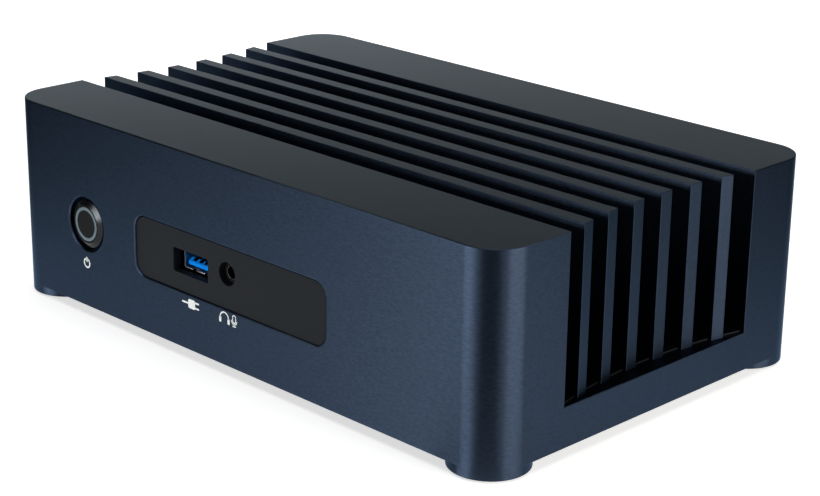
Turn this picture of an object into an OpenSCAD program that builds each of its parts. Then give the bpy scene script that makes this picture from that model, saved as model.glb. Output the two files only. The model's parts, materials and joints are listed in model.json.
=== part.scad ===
// Fanless mini computer: a milled aluminium case whose walls are its heat sink, with the fins cut
// right through from side to side and scooped in at both ends. The front has a push button and an
// inset plate with two ports, the back an inset plate with the other ports. A plate underneath
// closes the chamber, where one board hangs from the roof with its sockets below it.
// Origin: middle of the footprint, on the surface that the feet stand on. +X is right as seen from
// the front, +Y runs from the front to the back and +Z is up. Millimetres.

/* [Case] */
// Width of the case across the front
case_w = 190; // [180:1:260]
// Depth of the case from front to back
case_d = 122; // [119:1:170]
// Height of the case above its feet
case_h = 55.2; // [50:0.2:80]
// Radius of the four upright corners
corner_r = 10.5; // [6:0.5:15]
// Radius of the round feet milled under the corners
foot_r = 10.5; // [8.5:0.5:13]
// Height of the round feet
foot_h = 2.5; // [1.5:0.1:6]
// Thickness of the front and rear walls
wall_t = 4; // [3.6:0.1:6]
// Thickness of the roof between the chamber and the fins
roof_t = 5; // [3:0.5:8]
// Thickness of the walls between the chamber and the fin bays
bay_wall_t = 3; // [2:0.5:5]
// Radius that the cutter leaves in the chamber's corners
chamber_r = 2; // [1:0.5:3]

/* [Fins] */
// Number of fins
fin_n = 6; // [4:1:8]
// Thickness of a fin
fin_t = 4; // [2:0.2:5]
// Depth of the solid block in front of the fins, and of the one behind them
block_d = 25.2; // [24:0.2:32]
// Height of the sill under the fin ends
sill_h = 10.8; // [9:0.2:16]
// Height of the slot floors above the sill
slot_step = 0.4; // [0.3:0.1:2]
// How far the level of the sill runs into the slots from the fin ends
slot_mouth_d = 1; // [0.5:0.1:3]
// How far the fin ends are scooped in at the middle
scoop_d = 4.6; // [1:0.2:10]

/* [Foot pads and bottom cover] */
// Radius of a rubber foot pad
pad_r = 7.5; // [5:0.5:8]
// Thickness of a foot pad
pad_t = 1.5; // [1:0.1:2.4]
// How far a foot pad stands out of its foot
pad_proud = 0.5; // [0.3:0.1:0.9]
// Thickness of the bottom cover
cover_t = 2.5; // [2:0.1:4]
// Width of the ledge that the cover seats on beside the chamber
cover_ledge = 2.6; // [2:0.2:6]
// Width of the ledge in front of the chamber and behind it
cover_lip = 1.5; // [1:0.1:2]
// Radius of a cover screw's thread
cover_screw_r = 1.5; // [1:0.1:2]
// Hole spacing of the square mounting pattern in the cover
mount_pitch = 75; // [60:1:80]
// Radius of a mounting hole
mount_hole_r = 2; // [1.5:0.1:2.5]
// Height of the bushes round the mounting holes
mount_bush_h = 4; // [2:0.5:6]

/* [Port plates] */
// Height of the line of front ports above the bottom of the case
panel_h = 24.5; // [22:0.1:27]
// Width of the front port plate
plate_w = 76; // [70:0.5:84]
// Height of the front port plate
plate_h = 17; // [16:0.5:20]
// Corner radius of the port plates
plate_r = 4; // [2:0.5:6]
// Thickness of the port plates
plate_t = 2.6; // [1.4:0.1:2.8]
// How far the port plates lie below the face of the case
plate_recess = 0.5; // [0.3:0.1:0.8]
// Width of the ledge that the port plates seat on
plate_ledge = 2.4; // [1.5:0.1:3]
// How far the rear port plate reaches past its ports
rear_margin = 3; // [2.5:0.1:5]

/* [Power button] */
// Distance of the button from the left side of the case
button_inset = 34.4; // [33:0.2:38]
// Radius of the round recess that the switch sits in
recess_r = 7.8; // [7.3:0.1:9]
// Depth of that recess
recess_d = 2.4; // [2:0.1:2.8]
// Width of the bevel round the mouth of the recess
recess_bevel = 0.35; // [0.1:0.05:0.6]
// Radius of the switch's head
head_r = 6.9; // [6.6:0.1:7.2]
// Radius of the flat rim at the front of the head
rim_r = 5.4; // [5.4:0.05:6]
// Depth of the sloping bevel on the head
head_bevel = 0.7; // [0.5:0.1:1.5]
// Radius of the switch's threaded barrel
barrel_r = 6; // [5.8:0.1:6.4]
// Length of the barrel behind the head
barrel_l = 12; // [11:0.5:13]
// Radius of the push cap
cap_r = 5.1; // [4.9:0.05:5.2]
// Thickness of the push cap
cap_t = 3; // [2.5:0.1:3.2]
// Outer radius of the light ring
ring_r = 4.9; // [4.5:0.05:4.9]
// Inner radius of the light ring
ring_bore_r = 4; // [3.2:0.1:4]
// Depth of the light ring
ring_t = 1; // [0.6:0.1:1.6]
// Travel of the button
button_travel = 1.2; // [0.6:0.1:1.4]
// Radius of the plunger
plunger_r = 1.4; // [1.1:0.1:1.6]
// Radius of the return spring's coil at the middle of its wire
spring_r = 2.4; // [2.2:0.1:2.6]
// Wire diameter of the return spring
spring_wire = 0.5; // [0.3:0.1:0.6]
// Number of turns of the return spring
spring_turns = 6; // [4:1:7]
// Distance across the flats of the switch's nut
nut_flats = 14; // [13.6:0.2:14.4]
// Thickness of the nut
nut_t = 2.2; // [1.5:0.1:3]

/* [Front ports] */
// Place of the front data port, from the middle of the plate
usb_x = -14.9; // [-17:0.1:-11]
// How far the front data port sits below the middle of the plate
usb_drop = 0.4; // [0:0.1:0.8]
// Extra clear height over the front data port in its opening
usb_headroom = 0.4; // [0:0.1:0.6]
// Place of the audio jack, from the middle of the plate
jack_x = 0.1; // [-0.5:0.1:4]
// Height of the audio jack's axis above the middle of the plate
jack_rise = 1.2; // [1.1:0.1:2]
// Radius of the plate's hole for the audio jack
jack_hole_r = 3.25; // [2.9:0.05:3.6]
// Radius of the audio jack's bore
jack_bore_r = 1.8; // [1.7:0.05:2]
// Radius of the audio jack's round nose
jack_nose_r = 2.8; // [2.5:0.1:3]
// Length of the audio jack
jack_l = 14; // [12:0.5:18]

/* [Port sizes] */
// Width of a data port's shell
usb_w = 13.1; // [12.8:0.1:13.4]
// Height of a data port's shell
usb_h = 5.7; // [5.5:0.1:6]
// Length of a data port
usb_l = 14; // [12:0.5:16]
// Wall of the sheet metal shells
shell_t = 0.3; // [0.2:0.05:0.4]
// Thickness of a data port's tongue
tongue_t = 1.8; // [1.5:0.1:1.9]
// Width of the video port's shell
video_w = 15; // [14.6:0.1:15.6]
// Height of the video port's shell
video_h = 5.9; // [5.6:0.1:6.2]
// Width of the network jack's shell
net_w = 16; // [15.6:0.1:16.6]
// Height of the network jack's shell
net_h = 13.4; // [13:0.1:14]
// Length of the network jack
net_l = 20; // [18:0.5:22]
// Width of the power inlet's body
inlet_w = 9; // [8.6:0.1:10]
// Height of the power inlet's body
inlet_h = 10.6; // [9.5:0.1:11.5]
// Radius of the power inlet's bore
inlet_bore_r = 3.2; // [2.8:0.05:3.4]
// Radius of the power inlet's pin
inlet_pin_r = 1.25; // [0.8:0.05:1.5]
// Length of the power inlet
inlet_l = 14; // [12:0.5:16]
// Depth of the power inlet's bore
inlet_bore_l = 10; // [9:0.5:11]
// Width of the small reversible port
oval_w = 8.9; // [8.6:0.1:9.2]
// Height of the small reversible port
oval_h = 3.2; // [3:0.1:3.4]
// Space between neighbouring rear ports
port_gap = 3; // [2:0.25:3.5]

/* [Board] */
// Space between the board and the switch's nut
board_nut_gap = 1.7; // [1:0.1:4]
// Thickness of the board
board_t = 1.6; // [1:0.1:2]
// Space between the board and the chamber's side walls
board_side_gap = 6; // [5:0.5:7]
// Inset of the board's screws from its corners
board_screw_inset = 5; // [4:0.5:7]
// Radius of a board screw's thread
board_screw_r = 1.5; // [1:0.1:1.7]
// Thickness of the processor's base
chip_base_t = 1.2; // [0.8:0.1:1.6]
// Thickness of the processor's die
chip_die_t = 0.8; // [0.5:0.1:1]
// Thickness of the soft thermal pad on the processor
thermal_t = 0.5; // [0.3:0.1:1]
// Thickness of the block that leads the heat to the roof
heat_block_t = 5; // [4.5:0.5:9]
// Drop of the upper memory module below the board
memory_drop = 4; // [3.6:0.1:5]
// Distance from one memory module to the next
memory_pitch = 4.2; // [4:0.1:6]
// Drop of the plug-in cards below the board
card_drop = 3; // [2.5:0.1:4]
// Radius of the coin cell
cell_r = 10; // [8:0.5:10]
// Thickness of the coin cell
cell_t = 3.2; // [2:0.2:3.2]
// Thickness of the switch cable
cable_d = 2.4; // [1.5:0.1:3]
// Thickness of the antenna lead
lead_d = 1.2; // [1:0.1:1.6]

/* [Clearances] */
// Space round the plates, the cover and the ports in their cut-outs
fit_gap = 0.2; // [0.1:0.05:0.3]
// Space round the moving cap
run_gap = 0.15; // [0.1:0.05:0.3]
// Space round the sliding plunger
slide_gap = 0.05; // [0.02:0.01:0.1]
// Space round a plate's ports
cutout_gap = 0.65; // [0.4:0.05:0.8]
// Space between a port's face and the plate in front of it
face_gap = 0.5; // [0.2:0.05:0.6]
// Space round screws in their holes
screw_gap = 0.15; // [0.1:0.05:0.3]

/* [Hidden] */
$fn = 64;
eps = 0.1;
anodised = "#28344a";
charcoal = "#2b2d2f";
silver = "#b9bcc0";
steel = "#8d9196";
board_green = "#1f4a38";
black = "#17181a";
port_blue = "#1b7fe0";
gold = "#c8a450";
ring_grey = "#8fa5ad";
ivory = "#e6dfc8";
copper = "#b87a52";
pad_grey = "#c9cbcd";
card_black = "#20242c";
choke_grey = "#3a3d40";

// Levels
case_z = pad_proud + foot_h;
panel_z = case_z + panel_h;
board_z = panel_z + usb_h / 2;
board_top = board_z + board_t;
thermal_z = board_top + chip_base_t + chip_die_t;
heat_block_z = thermal_z + thermal_t;
roof_z = heat_block_z + heat_block_t;
slot_floor_z = case_z + sill_h + slot_step;

// Plan
front_y = -case_d / 2;
rear_y = case_d / 2;
fin_field = case_d - 2 * block_d;
slot_w = (fin_field - fin_n * fin_t) / (fin_n + 1);
scoop_edge = 0.2;
scoop_rise = scoop_d - scoop_edge;
scoop_r = (pow(fin_field / 2, 2) + pow(scoop_rise, 2)) / (2 * scoop_rise);
button_x = button_inset - case_w / 2;
nut_r = nut_flats / sqrt(3);
board_w = 2 * (-button_x - nut_r - board_nut_gap);
chamber_w = board_w + 2 * board_side_gap;
chamber_d = case_d - 2 * wall_t;
core_w = chamber_w + 2 * bay_wall_t;
wing_w = 2 * (nut_r + chamber_r - button_x);
wing_d = block_d - bay_wall_t - wall_t;
cover_w = wing_w + 2 * cover_ledge;
cover_d = chamber_d + 2 * cover_lip;
cover_screw_x = (chamber_w + cover_w) / 4;
cover_screw_edge = 6;
cover_screw_y = fin_field / 2 - cover_screw_edge;
sill_skin = 2.4;
cover_screw_l = sill_h - sill_skin;
tap_gap = 0.5;
hex_share = 0.75;
hex_d = 1;
bush_wall = 2;
bush_end_t = 0.6;
foot_x = case_w / 2 - max(foot_r, corner_r);
foot_y = case_d / 2 - max(foot_r, corner_r);
window_r = 1;

// Ports
port_y = front_y + plate_recess + plate_t + face_gap;
rear_port_y = -port_y;
usb_z = panel_z - usb_drop;
jack_z = panel_z + jack_rise;
jack_side = 0.3;
jack_body_w = 2 * (jack_nose_r + jack_side);
jack_nose_gap = 0.6;
jack_floor = 1;
jack_back_gap = 0.9;
cutout_r = 0.6;
usb_r = 0.7;
usb_inner_r = usb_r - shell_t;
usb_pins = [-3.5, -1, 1, 3.5];
tongue_gap = 0.7;
tongue_drop = usb_h / 2 - shell_t - tongue_t / 2 - tongue_gap;
tongue_set = 0.6;
tongue_l = 8.2;
tongue_side = 1;
contact_w = 1;
contact_l = 6;
contact_h = 0.25;
groove_gap = 0.25;
groove_d = 0.9;
groove_set = 0.5;
contact_set = 1;
lip_slot_w = 1.3;
lip_slot_l = 1;
lip_slot_x = 2.4;
rear_usb_z = board_z - usb_h / 2;
video_z = board_z - video_h / 2;
net_z = board_z - net_h / 2;
inlet_z = board_z - inlet_h / 2;
oval_z = board_z - oval_h / 2;
inlet_pin_set = 0.6;
inlet_margin = 1;
video_l = 11;
video_cut = 1.4;
video_block = 3;
video_tongue = [11.2, 7, 1.3];
video_tongue_set = 1.4;
net_set = 0.4;
net_mouth_l = 13;
net_mouth = [[11.8, -3.2, 3.8], [6.4, -4.6, -2.6], [4, -5.6, -3.6]];
net_pin_n = 8;
net_pin_pitch = 1.02;
net_pin_t = 0.4;
net_pin_l = 8;
net_pin_set = 3;
oval_l = 8;
oval_block = 2;
oval_tongue = [6.6, 6, 0.7];
oval_tongue_set = 0.8;
oval_r = 0.49 * oval_h;
rear_row = inlet_w + video_w + net_w + 2 * usb_w + oval_w + 5 * port_gap;
inlet_x = rear_row / 2 - inlet_w / 2;
video_x = inlet_x - inlet_w / 2 - port_gap - video_w / 2;
net_x = video_x - video_w / 2 - port_gap - net_w / 2;
rear_usb_x = net_x - net_w / 2 - port_gap - usb_w / 2;
rear_usb_pitch = usb_w + port_gap;
oval_x = rear_usb_x - rear_usb_pitch - usb_w / 2 - port_gap - oval_w / 2;
rear_plate_w = rear_row + 2 * (cutout_gap + rear_margin);
rear_plate_h = net_h + 2 * (cutout_gap + rear_margin);
rear_plate_z = net_z;

// Switch, measured back from the face of the case
cap_bore_r = cap_r + run_gap;
stop_gap = 0.4;
cap_socket_d = 1;
cap_bore_l = cap_t + button_travel + stop_gap;
spring_gap = 0.4;
spring_room_r = spring_r + spring_wire / 2 + spring_gap;
spring_seat = 0.1;
guide_l = 1.6;
barrel_wall = 1;
thread_gap = 0.02;
seal_t = 0.4;
head_l = recess_d - seal_t;
switch_l = head_l + seal_t + barrel_l;
contact_t = 1.1;
contact_at = switch_l - contact_t;
plunger_tip = 0.8;
plunger_end = contact_at - button_travel - stop_gap;
guide_at = plunger_end - plunger_tip - guide_l;
terminal_l = 2;
terminal_x = 2;
terminal_w = 1;
terminal_t = 0.6;
terminal_gap = 0.1;
plug_w = 9;
plug_t = 4;
plug_gap = 0.3;
plug_at = switch_l + plug_gap;
plug_l = 4.4;

// Board
board_edge_gap = 0.3;
board_d = chamber_d - 2 * board_edge_gap;
board_front_y = -board_d / 2;
board_screw_x = board_w / 2 - board_screw_inset;
board_screw_front_y = board_front_y + board_screw_inset;
board_screw_rear_y = rear_port_y - inlet_l - 2 * board_screw_r - port_gap;
boss_wall = 2;
boss_r = board_screw_r + boss_wall;
boss_floor = 1;
screw_grip = 4;
board_screw_head = 1.6;
header_w = 2.6;
header_l = 6;
header_h = 4.4;
header_x = -board_w / 2 + header_w;
header_y = front_y + plug_at + plug_l / 2;
cable_z = board_z - header_h / 2;
cable_stub = 0.8;
chip_y = 5;
chip_w = 42;
chip_d = 28;
die_w = 16;
die_d = 11;
heat_block_w = 46;
heat_block_d = 40;
heat_block_r = 2;
card_t = 0.8;
card_w = 22;
card_edge = 1.2;
card_socket_l = 5;
card_gap = 1;
card_z = board_z - card_drop;
chip_h = 1.2;
post_r = 2.4;
post_head = 1;
wireless_l = 30;
wireless_chips = [[0.45 * wireless_l, wireless_l / 2, 16]];
wireless_x = board_w / 2 - card_gap - (card_socket_l + wireless_l) / 2;
wireless_y = board_screw_front_y + 2 * board_screw_r + card_gap + card_w / 2;
drive_l = 42;
drive_chips = [[0.25 * drive_l, 9, 14], [0.65 * drive_l, 14, 13]];
drive_gap = 3;
drive_x = header_x + header_w / 2 + drive_gap + drive_l / 2;
drive_y = port_y + max(usb_l, jack_l) + card_gap + card_w / 2;
memory_w = 67.6;
memory_d = 30;
memory_t = 1.2;
memory_chip = [12, 9, 1];
memory_chip_pitch = 16;
socket_bar = 6;
socket_grip = 4;
socket_gap = 0.3;
socket_end = 4;
socket_step = socket_bar + socket_gap;
latch_t = 1;
latch_gap = 1.6;
memory_y = drive_y + card_w / 2 + card_gap + socket_step + socket_bar / 2;
cell_wall = 1.4;
cell_margin = 5;
cell_inset = 21;
cell_x = board_w / 2 - cell_r - cell_wall - cell_margin;
cell_y = board_front_y + cell_inset;
cell_floor = 0.8;
choke_w = 7;
choke_h = 3;
choke_pitch = 11;
choke_x = -36;
capacitor_r = 3;
capacitor_h = 5.2;
capacitor_pitch = 8;
capacitor_x = -26;
capacitor_y = -30;
antenna_w = 20;
antenna_h = 7;
antenna_t = 0.4;
antenna_x = 24;
antenna_drop = 1;
antenna_z = panel_z - antenna_drop;
lead_inset = 4;
lead_x = wireless_x - wireless_l / 2 + lead_inset;
lead_y = wireless_y - card_w / 2 + lead_inset;
lead_gap = 0.05;
lead_z = card_z - (card_t + lead_d) / 2 - lead_gap;
lead_stub = 1;

// A rectangle with round corners, centred
module rounded_rect(w, h, r) {
    square([w - 2 * r, h], center = true);
    square([w, h - 2 * r], center = true);
    for (x = [-1, 1], y = [-1, 1])
        translate([x * (w / 2 - r), y * (h / 2 - r)]) circle(r);
}

// A flat outline in X and Z, made solid towards the back
module backward(depth) {
    translate([0, depth, 0]) rotate([90, 0, 0]) linear_extrude(depth) children();
}

// A round bar along Y, from its front end
module bar_y(r, l) {
    rotate([-90, 0, 0]) cylinder(h = l, r = r);
}

// A box that hangs below a level, centred in X and Y
module hanging(w, d, h) {
    translate([-w / 2, -d / 2, -h]) cube([w, d, h]);
}

// A box that stands on a level, centred in X and Y
module standing(w, d, h) {
    translate([-w / 2, -d / 2, 0]) cube([w, d, h]);
}

// Places at the four corners of a rectangle
module four_corners(x, y) {
    for (sx = [-1, 1], sy = [-1, 1]) translate([sx * x, sy * y, 0]) children();
}

// Places of the cover screws, three under each fin bay
module cover_screw_places() {
    for (sx = [-1, 1], sy = [-1, 0, 1])
        translate([sx * cover_screw_x, sy * cover_screw_y, case_z]) children();
}

// Places of the four mounting holes in the cover
module mount_places() {
    four_corners(mount_pitch / 2, mount_pitch / 2) translate([0, 0, case_z]) children();
}

// Places of the board screws: two at the front corners and two in front of the rear ports
module board_screw_places() {
    for (x = [-board_screw_x, board_screw_x], y = [board_screw_front_y, board_screw_rear_y])
        translate([x, y, 0]) children();
}

// The ports on the back, seen from behind
module at_rear(x, z) {
    translate([x, rear_port_y, z]) rotate([0, 0, 180]) children();
}

// One thing in each slot between the fins
module each_slot() {
    for (i = [0 : fin_n]) translate([0, -fin_field / 2 + i * (slot_w + fin_t), 0]) children();
}

// The slots between the fins: through from side to side above the roof, and deep beside the chamber
module fin_slots() {
    bay_w = (case_w - core_w) / 2;
    each_slot() {
        translate([-case_w, 0, roof_z + roof_t]) cube([2 * case_w, slot_w, case_h]);
        for (side = [0, 1]) mirror([side, 0, 0])
            translate([core_w / 2, 0, slot_floor_z]) cube([bay_w + eps, slot_w, case_h]);
    }
}

// A round cut from the level of the sill upwards, that far deeper than the fin ends
module scoop(deeper) {
    translate([case_w / 2 - scoop_d + scoop_r, 0, case_z + sill_h])
        cylinder(h = case_h, r = scoop_r + deeper, $fn = 360);
}

// The round scoops that draw the fin ends in on both sides, each a small step deep beside the blocks.
// Between the fins they reach a little deeper, so that the slots open onto the sill without a lip.
module side_scoops() {
    for (side = [0, 1]) mirror([side, 0, 0]) {
        intersection() {
            scoop(0);
            translate([0, -fin_field / 2, 0]) cube([case_w, fin_field, case_z + 2 * case_h]);
        }
        intersection() {
            scoop(slot_mouth_d);
            each_slot() cube([case_w, slot_w, slot_floor_z + eps]);
        }
    }
}

// The chamber: a square room under the fins, with a wing along the front and another along the back
module chamber_outline() {
    rounded_rect(chamber_w, chamber_d, chamber_r);
    for (side = [-1, 1])
        translate([0, side * (chamber_d - wing_d) / 2]) rounded_rect(wing_w, wing_d, chamber_r);
}

// Outline of the cover, cut away round the feet
module cover_outline(gap) {
    difference() {
        rounded_rect(cover_w + 2 * gap, cover_d + 2 * gap, chamber_r);
        four_corners(foot_x, foot_y) circle(foot_r + 2 * fit_gap - gap);
    }
}

// A pocket with a ledge for a port plate, and the window behind it
module plate_pocket(w, h) {
    translate([0, -eps, 0]) backward(plate_recess + plate_t + eps)
        rounded_rect(w + 2 * fit_gap, h + 2 * fit_gap, plate_r + fit_gap);
    backward(wall_t + eps) rounded_rect(w - 2 * plate_ledge, h - 2 * plate_ledge, window_r);
}

// The round recess for the switch and the hole that its barrel goes through
module switch_hole() {
    translate([button_x, front_y, panel_z]) {
        translate([0, -eps, 0]) bar_y(recess_r, recess_d + eps);
        rotate([-90, 0, 0]) translate([0, 0, -eps])
            cylinder(h = recess_bevel + eps, r1 = recess_r + recess_bevel + eps, r2 = recess_r);
        bar_y(barrel_r + screw_gap, wall_t + eps);
    }
}

module case_body() color(anodised) {
    difference() {
        union() {
            translate([0, 0, case_z]) linear_extrude(case_h) rounded_rect(case_w, case_d, corner_r);
            four_corners(foot_x, foot_y) translate([0, 0, pad_proud]) cylinder(h = foot_h + 1, r = foot_r);
        }
        fin_slots();
        side_scoops();
        translate([0, 0, case_z + cover_t]) linear_extrude(roof_z - case_z - cover_t) chamber_outline();
        translate([0, 0, case_z - eps]) linear_extrude(cover_t + eps) cover_outline(fit_gap);
        translate([0, front_y, panel_z]) plate_pocket(plate_w, plate_h);
        translate([0, rear_y, rear_plate_z]) rotate([0, 0, 180]) plate_pocket(rear_plate_w, rear_plate_h);
        switch_hole();
        cover_screw_places() cylinder(h = cover_screw_l + tap_gap, r = cover_screw_r);
        four_corners(foot_x, foot_y) cylinder(h = pad_t, r = pad_r + fit_gap);
    }
    board_screw_places() difference() {
        translate([0, 0, board_top]) cylinder(h = roof_z - board_top + boss_floor, r = boss_r);
        translate([0, 0, board_top - eps]) cylinder(h = roof_z - board_top - boss_floor, r = board_screw_r);
    }
}

// A 45 degree countersink from a face, down to the radius of its hole
module countersink(mouth_r, hole_r) {
    translate([0, 0, -eps]) cylinder(h = mouth_r - hole_r + eps, r1 = mouth_r + eps, r2 = hole_r);
}

module bottom_cover() color(charcoal) {
    bush_l = cover_t + mount_bush_h;
    difference() {
        union() {
            translate([0, 0, case_z]) linear_extrude(cover_t) cover_outline(0);
            mount_places() cylinder(h = bush_l, r = mount_hole_r + bush_wall);
        }
        mount_places() translate([0, 0, -eps]) cylinder(h = bush_l - bush_end_t + eps, r = mount_hole_r);
        cover_screw_places() {
            translate([0, 0, -eps]) cylinder(h = cover_t + 2 * eps, r = cover_screw_r + screw_gap);
            countersink(2 * cover_screw_r + screw_gap, cover_screw_r + screw_gap);
        }
    }
}

// Countersunk screws with a hexagon socket
module cover_screws() color(steel) {
    cover_screw_places() difference() {
        union() {
            cylinder(h = cover_screw_r, r1 = 2 * cover_screw_r, r2 = cover_screw_r);
            cylinder(h = cover_screw_l, r = cover_screw_r - thread_gap);
        }
        translate([0, 0, -eps]) cylinder(h = hex_d + eps, r = hex_share * cover_screw_r, $fn = 6);
    }
}

module foot_pads() color(black) {
    four_corners(foot_x, foot_y) cylinder(h = pad_t, r = pad_r);
}

module front_port_plate() color(charcoal) {
    translate([0, front_y + plate_recess, panel_z]) difference() {
        backward(plate_t) rounded_rect(plate_w, plate_h, plate_r);
        translate([usb_x, -eps, usb_headroom / 2 - usb_drop]) backward(plate_t + 2 * eps)
            rounded_rect(usb_w + 2 * cutout_gap, usb_h + cutout_gap + usb_headroom, cutout_r);
        translate([jack_x, -eps, jack_rise]) bar_y(jack_hole_r, plate_t + 2 * eps);
    }
}

// A cut through the rear plate, seen from behind
module rear_cut(x, z) {
    translate([x, rear_y - plate_recess - plate_t - eps, z]) backward(plate_t + 2 * eps) children();
}

module rear_port_plate() color(charcoal) {
    difference() {
        translate([0, rear_y - plate_recess - plate_t, rear_plate_z])
            backward(plate_t) rounded_rect(rear_plate_w, rear_plate_h, plate_r);
        rear_cut(inlet_x, inlet_z) circle(inlet_bore_r + inlet_margin);
        rear_cut(video_x, video_z) rounded_rect(video_w + 2 * cutout_gap, video_h + cutout_gap, cutout_r);
        rear_cut(net_x, net_z) rounded_rect(net_w + cutout_gap, net_h + cutout_gap, cutout_r);
        for (i = [0, 1]) rear_cut(rear_usb_x - i * rear_usb_pitch, rear_usb_z)
            rounded_rect(usb_w + 2 * cutout_gap, usb_h + cutout_gap, cutout_r);
        rear_cut(oval_x, oval_z) rounded_rect(oval_w + cutout_gap, oval_h + cutout_gap, oval_r);
    }
}

// Places pieces of the switch, with Y measured back from the face of the case
module at_switch(y) {
    translate([button_x, front_y + y, panel_z]) children();
}

module switch_body() color(charcoal) {
    difference() {
        at_switch(0) rotate([-90, 0, 0]) union() {
            cylinder(h = head_bevel, r1 = rim_r, r2 = head_r);
            translate([0, 0, head_bevel]) cylinder(h = head_l - head_bevel, r = head_r);
            translate([0, 0, head_bevel]) cylinder(h = switch_l - head_bevel, r = barrel_r);
        }
        at_switch(-eps) bar_y(cap_bore_r, cap_bore_l + eps);
        at_switch(0) bar_y(spring_room_r, guide_at);
        at_switch(0) bar_y(plunger_r + slide_gap, switch_l);
        at_switch(guide_at + guide_l) bar_y(barrel_r - barrel_wall, switch_l);
    }
}

module switch_nut() color(steel) {
    at_switch(wall_t) rotate([-90, 0, 0]) difference() {
        cylinder(h = nut_t, r = nut_r, $fn = 6);
        translate([0, 0, -eps]) cylinder(h = nut_t + 2 * eps, r = barrel_r + thread_gap);
    }
}

module switch_seal() color(black) {
    at_switch(head_l) rotate([-90, 0, 0]) difference() {
        cylinder(h = seal_t, r = head_r);
        translate([0, 0, -eps]) cylinder(h = seal_t + 2 * eps, r = barrel_r + thread_gap);
    }
}

// The cap has a groove in its face for the light ring and a socket in its back for the plunger
module button_cap() color(charcoal) {
    at_switch(0) rotate([-90, 0, 0]) difference() {
        cylinder(h = cap_t, r = cap_r);
        translate([0, 0, -eps]) difference() {
            cylinder(h = ring_t + eps, r = ring_r);
            translate([0, 0, -eps]) cylinder(h = ring_t + 3 * eps, r = ring_bore_r);
        }
        translate([0, 0, cap_t - cap_socket_d]) cylinder(h = 2 * cap_socket_d, r = plunger_r);
    }
}

module light_ring() color(ring_grey) {
    at_switch(0) rotate([-90, 0, 0]) difference() {
        cylinder(h = ring_t, r = ring_r);
        translate([0, 0, -eps]) cylinder(h = ring_t + 2 * eps, r = ring_bore_r);
    }
}

module button_plunger() color(silver) {
    at_switch(cap_t - cap_socket_d) bar_y(plunger_r, plunger_end - cap_t + cap_socket_d);
}

// One wire that winds from the back of the cap to the guide
function spring_point(t, a) =
    let (turn = 360 * spring_turns * t, r = spring_r + spring_wire / 2 * cos(a))
    [r * cos(turn), spring_wire / 2 * sin(a), r * sin(turn)];

module return_spring() color(silver) {
    sides = 6;
    steps = 10 * spring_turns;
    start = cap_t + spring_wire / 2 + spring_seat;
    run = guide_at - spring_wire / 2 - spring_seat - start;
    points = [for (i = [0 : steps], j = [0 : sides - 1])
        spring_point(i / steps, 360 * j / sides) + [0, start + run * i / steps, 0]];
    walls = [for (i = [0 : steps - 1], j = [0 : sides - 1])
        let (k = (j + 1) % sides, p = i * sides, q = p + sides)
        each [[p + j, q + j, q + k], [p + j, q + k, p + k]]];
    ends = [for (j = [1 : sides - 2])
        each [[0, j, j + 1], [steps * sides, steps * sides + j + 1, steps * sides + j]]];
    at_switch(0) polyhedron(points = points, faces = concat(walls, ends), convexity = 10);
}

// One of the two flat terminals, or the slot for it in the plug
module terminal(side, gap) {
    translate([side * terminal_x - terminal_w / 2 - gap, 0, -terminal_t / 2 - gap])
        cube([terminal_w + 2 * gap, terminal_l + eps, terminal_t + 2 * gap]);
}

// Contact block pressed into the end of the barrel, with its two terminals
module switch_contacts() color(black) {
    at_switch(contact_at) bar_y(barrel_r - barrel_wall - thread_gap, switch_l - contact_at);
    for (side = [-1, 1])
        at_switch(switch_l - eps) terminal(side, 0);
}

module switch_plug() color(ivory) {
    difference() {
        at_switch(plug_at) translate([-plug_w / 2, 0, -plug_t / 2]) cube([plug_w, plug_l, plug_t]);
        for (side = [-1, 1])
            at_switch(plug_at - eps) terminal(side, terminal_gap);
    }
}

// A tube swept along points, with its ring at each point square to the path
function along(p, i) =
    let (a = p[max(i - 1, 0)], b = p[min(i + 1, len(p) - 1)]) (b - a) / norm(b - a);

function ring(p, i, r, sides) =
    let (t = along(p, i), u = cross(t, [0, 0, 1]) / norm(cross(t, [0, 0, 1])), v = cross(t, u))
    [for (j = [0 : sides - 1]) p[i] + r * (cos(360 * j / sides) * u + sin(360 * j / sides) * v)];

module tube(p, r, sides = 8) {
    last = (len(p) - 1) * sides;
    points = [for (i = [0 : len(p) - 1]) each ring(p, i, r, sides)];
    walls = [for (i = [0 : len(p) - 2], j = [0 : sides - 1])
        let (k = (j + 1) % sides, a = i * sides, b = a + sides)
        each [[a + j, a + k, b + k], [a + j, b + k, b + j]]];
    ends = [for (j = [1 : sides - 2]) each [[0, j + 1, j], [last, last + j, last + j + 1]]];
    polyhedron(points = points, faces = concat(walls, ends), convexity = 4);
}

// A smooth run from one point to another that leaves and arrives square, along the given direction
function eased(a, b, along, n = 8) =
    let (p = a + along, q = b - along)
    concat([a], [for (i = [0 : n]) let (t = i / n, s = t * t * (3 - 2 * t), step = q - p,
        forward = (step * along) * along / (along * along))
        p + forward * t + (step - forward) * s], [b]);

module switch_cable() color(black) {
    tube(eased([button_x + plug_w / 2, header_y, panel_z],
        [header_x - header_w / 2, header_y, cable_z], [cable_stub, 0, 0]), cable_d / 2);
}

module switch_header() color(ivory) {
    translate([header_x, header_y, board_z]) hanging(header_w, header_l, header_h);
}

// The board has a notch in its front edge, where the audio jack is sunk into it
module main_board() color(board_green) {
    difference() {
        translate([0, 0, board_z]) standing(board_w, board_d, board_t);
        translate([jack_x, port_y, board_z - eps])
            standing(jack_body_w + 2 * fit_gap, 2 * (jack_l + jack_back_gap), board_t + 2 * eps);
        board_screw_places()
            translate([0, 0, board_z - eps]) cylinder(h = board_t + 2 * eps, r = board_screw_r + screw_gap);
    }
}

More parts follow.
